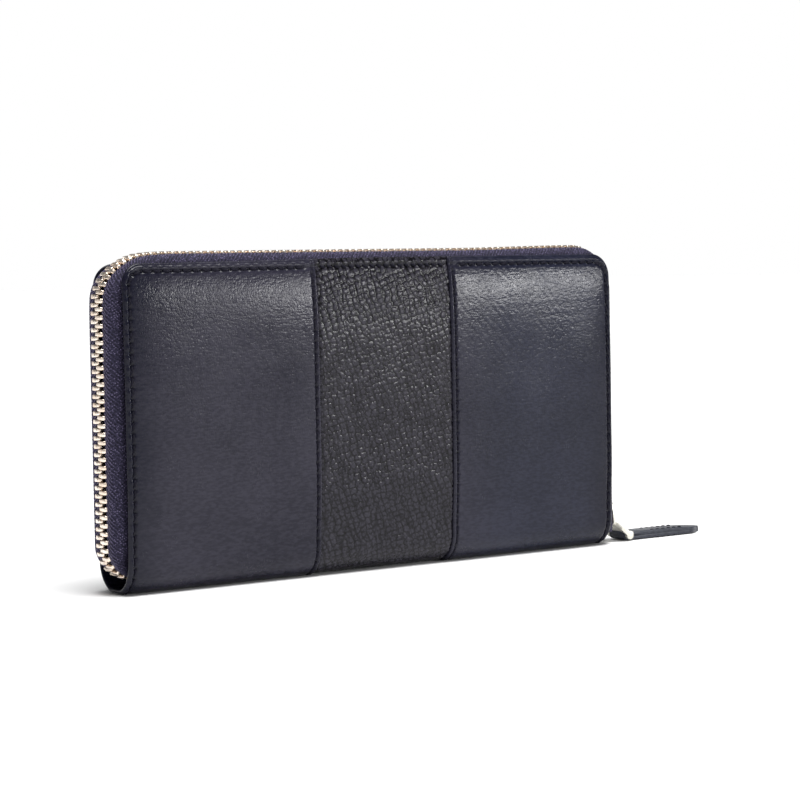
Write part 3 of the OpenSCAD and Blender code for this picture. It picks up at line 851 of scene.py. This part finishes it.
def gusset(side, end):
    """Pleated cloth between a cover's lining and the coin pocket, in four legs."""
    low, high = node_box(f"gusset_front_{end}")
    inner_x, outer_x = sorted(abs(v) for v in (low[0], high[0]))
    cover_y, pocket_y = low[1], high[1]
    turns = [(outer_x - 0.3, cover_y + 0.25), (inner_x + 3.2, cover_y + 0.5), (inner_x + 0.9, cover_y + 1.05),
             (inner_x + 3.4, cover_y + 1.7), (outer_x - 4.2, cover_y + 2.15), (outer_x - 3.4, cover_y + 2.6),
             (outer_x - 4.4, cover_y + 3.05), (inner_x + 3.2, cover_y + 3.5), (inner_x + 1.2, cover_y + 4.05),
             (inner_x + 2.6, pocket_y - 0.55), (inner_x + 0.55 * (outer_x - inner_x), pocket_y - 0.25)]
    line = curve_through(turns, 5)
    normal = normals(line)
    k, height = crossed(np.arange(len(line)), places(low, high, 2, 2.0))
    rim = np.minimum(height - low[2], high[2] - height)
    ends = np.minimum(k, len(line) - 1 - k) * 0.5
    half = turned_edge(np.minimum(rim, ends), CLOTH_T, 0.25)
    sway = 0.12 * np.sin(height / 8 + k * 0.2) * smooth(ends / 4)
    grids = [np.stack([(line[k, 0] + normal[k, 0] * shift + sway) * ENDS[end],
                       line[k, 1] + normal[k, 1] * shift, height], -1) for shift in (half, -half)]
    obj = shell(f"{side}_pleated_gusset_{end}", side, [grids], "lining")
    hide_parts(f"gusset_{side}_{end}")
    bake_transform(obj)


def pocket_wall(side):
    """One wall of the coin pocket: cloth with a folded top edge and a stitched seam up each side."""
    low, high = (WALL_LOW[0], -WALL_LOW[1], WALL_LOW[2]), (WALL_HIGH[0], -WALL_HIGH[1], WALL_HIGH[2])

    def drape(x, z, rim):
        return -0.1 * abs(waves(x, z, 51, 40)) * smooth(rim / 8) + hollow(rim, 2.0, 0.4, 0.12)

    obj = shell(f"{side}_pocket_cloth", side, [plate(low, high, drape)], "lining")
    rides(obj, "spine", f"pocket_wall_{side}")


def pocket_side(end):
    """Narrow cloth strip that closes one end of the coin pocket, folded inward along its middle."""
    low, high = node_box(f"pocket_side_{end}")
    y, z = crossed(places(low, high, 1, 0.5), places(low, high, 2, 1.5))
    rim = np.minimum(z - low[2], high[2] - z)
    tuck = PINCH * (1 - (y / high[1]) ** 2) * smooth(rim / 6)
    middle = max(abs(low[0]), abs(high[0])) - END_T / 2 - tuck
    half = turned_edge(rim, END_T, 0.3)
    grids = [np.stack([ENDS[end] * (middle + f * half), y, z], -1) for f in (1, -1)]
    rides(shell(f"pocket_end_{end}", "front", [grids], "lining"), "spine", f"pocket_side_{end}")


def pocket_floor():
    low, high = node_box("pocket_base")
    x, y = crossed(places(low, high, 0, 1.5), places(low, high, 1, 0.5))
    rim = np.minimum(x - low[0], high[0] - x)
    sag = 0.5 * (1 - (y / high[1]) ** 2) + 0.08 * waves(x, y, 61, 14)
    half = turned_edge(rim, FLOOR_T, 0.4)
    grids = [np.stack([x, y, high[2] - 0.4 - sag + f * half], -1) for f in (1, -1)]
    rides(shell("pocket_floor", "front", [grids], "lining"), "spine", "pocket_base")


def pocket_tape(side):
    """Woven tape of the coin pocket's zip: up the wall, out round the slider and in to the teeth."""
    low, high = node_box("pocket_zip_tape_back")
    wall, far, top = WALL_HIGH[1] + 0.15, high[1] - 0.15, high[2] - 0.15
    line = curve_through([(wall, low[2]), (wall, low[2] + 3.2), (far, low[2] + 4.7), (far, top - 0.3),
                          (high[1] - 0.5, top), (low[1], top)], 5)
    across, normal = distances(line), normals(line)
    k, x = crossed(np.arange(len(line)), places(low, high, 0, 0.6))
    rim = np.minimum(np.minimum(k, len(line) - 1 - k) * 0.3, np.minimum(x - low[0], high[0] - x))
    half = turned_edge(rim, CLOTH_T, 0.25)
    rib = RIB_HEIGHT / 2 * np.sin(2 * math.pi * (x / 1.3 + across[k] / 1.6))
    grids = [np.stack([x, normal[k, 0] * shift - line[k, 0], line[k, 1] - normal[k, 1] * shift], -1)
             for shift in (half + rib * smooth(rim), -half)]
    obj = shell(f"{side}_pocket_tape", side, [grids], "zip_tape", np.stack([x, across[k]], -1))
    rides(obj, "spine", f"pocket_zip_tape_{side}")


def pocket_teeth():
    """The small chain along the top of the coin pocket, from its left end to the slider."""
    low, high = node_box("pocket_zip_teeth")
    size = (high[2] - low[2]) / TOOTH_T
    local, local_faces = tooth_mesh()
    local = local * size
    height = (high[2] + low[2]) / 2 + local[:, 0]
    step = 1.27 * size / TOOTH_HALF / 2
    teeth = []
    for i, x in enumerate(np.arange(low[0] + 0.5, high[0] - 0.3, step)):
        y = local[:, 1] if i % 2 else -local[:, 1]
        teeth.append((np.stack([x + local[:, 2], y, height], 1).tolist(), local_faces))
    obj = add_mesh("pocket_metal_teeth", *joined(teeth), "zip_metal")
    rides(obj, "spine", "pocket_zip_teeth")


# ---- materials

# A noise texture keeps mostly between these values.
NOISE_SPAN = (0.3, 0.7)


class Shader:
    """The nodes of a new material or world, and short ways to add to them."""

    def __init__(self, owner):
        owner.use_nodes = True
        self.owner = owner
        self.nodes, self.links = owner.node_tree.nodes, owner.node_tree.links
        self.coordinates = self.nodes.new("ShaderNodeTexCoord").outputs
        self.place = self.coordinates["Object"]

    def add(self, kind, inputs, **settings):
        node = self.nodes.new(kind)
        for key, value in settings.items():
            setattr(node, key, value)
        for key, value in inputs.items():
            if isinstance(value, bpy.types.NodeSocket):
                self.links.new(value, node.inputs[key])
            else:
                node.inputs[key].default_value = value
        return node

    def made(self, colour, normal, roughness=None, **values):
        """Links what drives the Principled surface, sets its constant values and gives the material."""
        surface = self.nodes["Principled BSDF"].inputs
        for source, target in ((colour, "Base Color"), (normal, "Normal"), (roughness, "Roughness")):
            if source is not None:
                self.links.new(source, surface[target])
        for name, value in values.items():
            surface[name.replace("_", " ")].default_value = value
        return self.owner

    def stretched(self, scale, turn=(0, 0, 0), source=None):
        return self.add("ShaderNodeMapping", {"Vector": source or self.place, "Scale": scale,
                                              "Rotation": turn}).outputs[0]

    def noise(self, scale, detail=3, rough=0.5, source=None):
        return self.add("ShaderNodeTexNoise", {"Vector": source or self.place, "Scale": scale,
                                               "Detail": detail, "Roughness": rough}).outputs["Fac"]

    def cells(self, scale, source, scatter=1.0):
        return self.add("ShaderNodeTexVoronoi", {"Vector": source, "Scale": scale,
                                                 "Randomness": scatter}).outputs["Distance"]

    def threads(self, scale, axis):
        return self.add("ShaderNodeTexWave", {"Vector": self.stretched(scale), "Scale": 1.0},
                        bands_direction=axis).outputs["Fac"]

    def woven_map(self):
        """The map of a rebuilt piece, and its two parts."""
        place = self.add("ShaderNodeUVMap", {}, uv_map="Weave").outputs[0]
        return place, *self.parts(place)[:2]

    def parts(self, vector):
        return self.add("ShaderNodeSeparateXYZ", {0: vector}).outputs

    def ramp(self, value, *stops):
        node = self.add("ShaderNodeValToRGB", {"Fac": value})
        while len(node.color_ramp.elements) < len(stops):
            node.color_ramp.elements.new(0.5)
        for element, (at, colour) in zip(node.color_ramp.elements, stops):
            element.position = at
            element.color = (*colour, 1)
        return node.outputs["Color"]

    def range(self, value, low, high, start=0.0, end=1.0):
        return self.add("ShaderNodeMapRange", {"Value": value, "From Min": start, "From Max": end,
                                               "To Min": low, "To Max": high}).outputs[0]

    def vary(self, noise, low, high):
        return self.range(noise, low, high, *NOISE_SPAN)

    def sum(self, a, b, operation="ADD"):
        return self.add("ShaderNodeMath", {0: a, 1: b}, operation=operation).outputs[0]

    def blend(self, share, a, b):
        return self.add("ShaderNodeMix", {0: share, 6: a, 7: b}, data_type="RGBA").outputs[2]

    def bump(self, height, distance, strength=1.0, under=None):
        inputs = {"Height": height, "Distance": distance * MM, "Strength": strength}
        if under is not None:
            inputs["Normal"] = under
        return self.add("ShaderNodeBump", inputs).outputs[0]


# The outer leather turns bluer over this range of x in metres, and the painted shade along its side edge
# fades over these distances in from the edge.
BLUER = ((0.0075, 0.0085, 0.018), (0.020, 0.0215, 0.038))
BLUER_X = (0.02, 0.05)
EDGE_SHADE_FADE = (1, 13)


def smooth_leather(name, dark, light, roughness, edge_shade=None):
    """Fine calf grain: long shallow wrinkles over a short steep grain, with soft random changes of tone and
    painted shade in the wrinkles' hollows.

    The last argument, when given, is the colour of painted shade that the outer leather darkens to near its
    side edge, where its face falls back; its own map gives the distance from that edge.
    """
    s = Shader(bpy.data.materials.new(name))
    wrinkles = s.noise(1.0, 2, 0.5, s.stretched((520, 520, 1500), (0, math.radians(14), 0)))
    grain = s.noise(1.0, 1, 0.5, s.stretched((2100, 2100, 1150), (0, math.radians(-24), 0)))
    # The tone follows the wrinkles and is darker in their hollows: painted shade, over random changes of
    # tone.
    tone = s.sum(s.vary(s.noise(32, 2), -0.1, 0.55), s.range(wrinkles, 0, 0.6, 0.38, 0.62))
    colour = s.ramp(tone, (0, dark), (1, light))
    if edge_shade:
        bluer = s.ramp(tone, (0, BLUER[0]), (1, BLUER[1]))
        colour = s.blend(s.range(s.parts(s.place)[0], 0, 1, *BLUER_X), colour, bluer)
        # Painted shade: the outer leather darkens towards its side edge, where the face falls back.
        from_edge = s.sum(s.woven_map()[1], s.vary(s.noise(60, 2), -3, 3))
        border = s.ramp(tone, (0, edge_shade), (1, dark))
        colour = s.blend(s.range(from_edge, 0, 1, *EDGE_SHADE_FADE), border, colour)
    normal = s.bump(grain, 0.045, 0.9, s.bump(wrinkles, 0.07, 0.8))
    dull = s.sum(s.vary(s.noise(90, 2), roughness - 0.04, roughness + 0.04), s.vary(grain, -0.05, 0.05))
    return s.made(colour, normal, dull, Specular_IOR_Level=0.2)


def pebbled_leather(name):
    """Near-black pebbled calf: the pebbles are in the mesh, and its map gives their height, which darkens the
    creases in colour as painted shade.
    """
    s = Shader(bpy.data.materials.new(name))
    fine = s.cells(900, s.stretched((1, 1, 1), (0, math.radians(18), 0)))
    skin_grain = s.noise(2600, 2)
    blotch = s.noise(200, 3)
    uneven = s.sum(s.vary(blotch, 0, 0.2), s.vary(skin_grain, 0, 0.2))
    # Colour follows the pebbles' height, lighter on their tops and near black in the creases: painted shade,
    # over random blotches.
    tone = s.sum(uneven, s.range(s.woven_map()[1], 0, 0.7, 0.15, 0.7))
    colour = s.ramp(tone, (0.15, (0.0015, 0.0015, 0.002)), (0.6, (0.013, 0.012, 0.0165)),
                    (0.95, (0.030, 0.028, 0.038)))
    normal = s.bump(skin_grain, 0.03, 0.5, s.bump(fine, -0.1, 0.5))
    return s.made(colour, normal, s.vary(blotch, 0.17, 0.25), Specular_IOR_Level=0.19)


def woven_tape(name):
    """Navy twill with pale flecks and slanting ribs by the teeth, drawn on the tape's map in millimetres."""
    s = Shader(bpy.data.materials.new(name))
    weave, along, across = s.woven_map()
    dots = s.cells(1.25, s.stretched((1.15, 1.0, 1), (0, 0, math.radians(38)), weave), 0.45)
    fleck = s.noise(1.6, 2, 0.6, weave)
    lean = s.sum(s.sum(across, RIB_FOLD, "SUBTRACT"), 0.0, "ABSOLUTE")
    phase = s.sum(s.sum(along, 1 / RIB_PITCH, "MULTIPLY"), s.sum(lean, 1 / RIB_RUN, "MULTIPLY"))
    rib = s.sum(s.sum(phase, s.vary(fleck, -0.18, 0.18)), 0.5, "PINGPONG")
    ribs = s.sum(s.range(rib, 0, 0.6, 0.2, 0.45), s.range(lean, 0.4, 1.0, 2.5, 4.5), "MULTIPLY")
    spots = s.range(dots, 0.6, 0, 0.12, 0.42)
    tone = s.sum(s.sum(spots, ribs, "MAXIMUM"), s.vary(fleck, 0, 0.3))
    colour = s.ramp(tone, (0.05, (0.006, 0.005, 0.014)), (0.4, (0.031, 0.027, 0.058)),
                    (0.95, (0.20, 0.17, 0.29)))
    normal = s.bump(rib, 0.5, 0.5, s.bump(dots, -0.16, 0.8))
    return s.made(colour, normal, Roughness=0.7, Specular_IOR_Level=0.2)


def metal(name, colour, worn, roughness):
    """Plated metal with fine drag marks and slightly dull patches."""
    s = Shader(bpy.data.materials.new(name))
    patch = s.noise(300, 3)
    drag = s.noise(1.0, 3, 0.6, s.stretched((900, 5200, 900)))
    dull = s.sum(s.vary(patch, roughness - 0.04, roughness + 0.08), s.vary(drag, -0.03, 0.05))
    return s.made(s.ramp(patch, (0.35, colour), (0.75, worn)), s.bump(drag, 0.02, 0.4), dull, Metallic=1.0)


def cloth(name, dark, light):
    """Plain woven lining: two sets of threads at right angles, seen along X and Z."""
    s = Shader(bpy.data.materials.new(name))
    threads = s.sum(s.threads((1900, 1, 1), "X"), s.threads((1, 1, 1900), "Z"), "MULTIPLY")
    tone = s.sum(s.vary(s.noise(220, 4), 0, 0.6), s.range(threads, 0, 0.4))
    return s.made(s.ramp(tone, (0, dark), (1, light)), s.bump(threads, 0.08, 0.6), Roughness=0.75,
                  Specular_IOR_Level=0.2, Sheen_Weight=0.2)


def thread_material(name):
    s = Shader(bpy.data.materials.new(name))
    ply = s.noise(1.0, 3, 0.5, s.stretched((2600, 2600, 2600)))
    colour = s.ramp(ply, (0.3, (0.003, 0.003, 0.006)), (0.7, (0.016, 0.015, 0.025)))
    return s.made(colour, s.bump(ply, 0.08, 0.7), Roughness=0.7, Specular_IOR_Level=0.08)


def paperboard(name):
    s = Shader(bpy.data.materials.new(name))
    fibre = s.noise(1200, 5, 0.7)
    colour = s.ramp(fibre, (0.3, (0.10, 0.08, 0.06)), (0.7, (0.22, 0.17, 0.12)))
    return s.made(colour, s.bump(fibre, 0.05, 0.5), Roughness=0.85)


def floor_material(name):
    s = Shader(bpy.data.materials.new(name))
    colour = s.ramp(s.noise(3, 2), (0, (0.90, 0.90, 0.90)), (1, (0.93, 0.93, 0.93)))
    return s.made(colour, None, Roughness=0.9, Specular_IOR_Level=0.1)


# Each slot's maker, with its colours and its roughness; the outer smooth leather's last colour is the painted
# shade along its side edges.
LOOKS = {
    "smooth_leather": (smooth_leather, (0.010, 0.0095, 0.018), (0.027, 0.0255, 0.039), 0.21,
                       (0.0025, 0.0035, 0.011)),
    "pebbled_leather": (pebbled_leather,),
    "puller_leather": (smooth_leather, (0.018, 0.020, 0.028), (0.045, 0.049, 0.064), 0.34),
    "card_leather": (smooth_leather, (0.020, 0.020, 0.036), (0.044, 0.044, 0.070), 0.45),
    "lining": (cloth, (0.050, 0.050, 0.075), (0.12, 0.12, 0.16)),
    "board": (paperboard,),
    "zip_tape": (woven_tape,),
    "zip_metal": (metal, (0.95, 0.85, 0.75), (0.82, 0.66, 0.52), 0.28),
    "slider_metal": (metal, (0.72, 0.70, 0.63), (0.54, 0.53, 0.48), 0.28),
    "thread": (thread_material,),
}
MATERIALS = {slot: maker(slot, *values) for slot, (maker, *values) in LOOKS.items()}


def paint_frame():
    """Gives every CAD node that still shows its slot's material."""
    slot_of = {part["node"]: part["material_slot"] for part in frame["record"]["subparts"]}
    for name, obj in frame["nodes"].items():
        obj.data.materials.clear()
        obj.data.materials.append(MATERIALS[slot_of[name]])


# ---- studio

# The camera looks at the front from the left and a little above: angles in degrees, place in millimetres.
YAW, TILT, ROLL = 35.139, 3.304, -0.99
CAMERA_PLACE = (-420.43, -614.92, 97.45)
LENS, SENSOR, NEAREST = 102.73, 36, 0.02

# Direction of the white backdrop, across the wallet from the camera. The surroundings fade upwards and away
# from it: the strength at the start and end of each fade, and where those are.
BACKDROP = (0.574, 0.819, 0)
UPWARD_FADE = (1.0, 0.35, 0.14, 0.34)
BACKDROP_FADE = (0.4, 1.0, 0.5, 0.85)

# Softboxes: place, what they face, size and power. All in metres and watts.
SOFTBOXES = {
    "Key": ((0.80, -1.0, 0.27), (0, 0, 0.06), (0.42, 0.08), 5.0),
    "Top": ((-0.2, -0.3, 1.3), (0, 0, 0.05), (0.9, 0.5), 6),
}
SUN_POWER, SUN_SPREAD, SUN_TURN = 3.6, math.radians(40), (math.radians(12), math.radians(8), 0)

# The floor's half width and how far it lies under the wallet, in metres.
FLOOR_HALF, FLOOR_Z = 12, -0.0002


def camera():
    yaw, tilt, roll = (math.radians(a) for a in (YAW, TILT, ROLL))
    forward = Vector((math.sin(yaw) * math.cos(tilt), math.cos(yaw) * math.cos(tilt), -math.sin(tilt)))
    right = Vector((math.cos(yaw), -math.sin(yaw), 0))
    up = right.cross(forward)
    right, up = right * math.cos(roll) + up * math.sin(roll), up * math.cos(roll) - right * math.sin(roll)
    data = bpy.data.cameras.new("Camera")
    data.lens = LENS
    data.sensor_width = SENSOR
    data.clip_start = NEAREST
    cam = add_object("Camera", data)
    axes = Matrix((right, up, -forward)).transposed().to_4x4()
    cam.matrix_world = Matrix.Translation(Vector(CAMERA_PLACE) * MM) @ axes
    bpy.context.scene.camera = cam


def floor():
    corners = [(x * FLOOR_HALF, y * FLOOR_HALF, 0) for x, y in ((-1, -1), (1, -1), (1, 1), (-1, 1))]
    mesh = bpy.data.meshes.new("Floor")
    mesh.from_pydata(corners, [], [(0, 1, 2, 3)])
    mesh.materials.append(floor_material("studio_floor"))
    obj = add_object("Floor", mesh)
    obj.location.z = FLOOR_Z


def surroundings():
    """White all round, darker overhead and away from the backdrop."""
    world = bpy.data.worlds.new("World")
    s = Shader(world)
    direction = s.coordinates["Generated"]
    behind = s.add("ShaderNodeVectorMath", {0: direction, 1: BACKDROP}, operation="DOT_PRODUCT")
    fades = (s.range(s.parts(direction)["Z"], *UPWARD_FADE), s.range(behind.outputs["Value"], *BACKDROP_FADE))
    glow = s.sum(*fades, "MULTIPLY")
    s.links.new(glow, s.nodes["Background"].inputs["Color"])
    bpy.context.scene.world = world


def lights():
    for name, (place, target, size, power) in SOFTBOXES.items():
        data = bpy.data.lights.new(name, "AREA")
        data.shape = "RECTANGLE"
        data.size, data.size_y = size
        data.energy = power
        lamp = add_object(name, data)
        lamp.location = place
        lamp.rotation_euler = (Vector(target) - Vector(place)).to_track_quat("-Z", "Y").to_euler()
    sun = add_object("Overhead", bpy.data.lights.new("Overhead", "SUN"))
    sun.data.energy = SUN_POWER
    sun.data.angle = SUN_SPREAD
    sun.rotation_euler = SUN_TURN


# ---- assembly

camera()
floor()
surroundings()
lights()
bpy.context.scene.view_settings.view_transform = "Standard"
paint_frame()
for side in SIDES:
    for end in ENDS:
        leather_panel(side, end)
    for build in (stripe_panel, cover_thread, zip_tape, tooth_row, cover_lining, card_backing, card_rows,
                  card_thread, pocket_wall, pocket_tape):
        build(side)
    for end in ENDS:
        gusset(side, end)
for end in ENDS:
    pocket_side(end)
pocket_floor()
pocket_teeth()
spine_lining()
puller_strap()
puller_thread()
for name, (node, bevel) in METAL_PIECES.items():
    metal_piece(name, node, bevel)
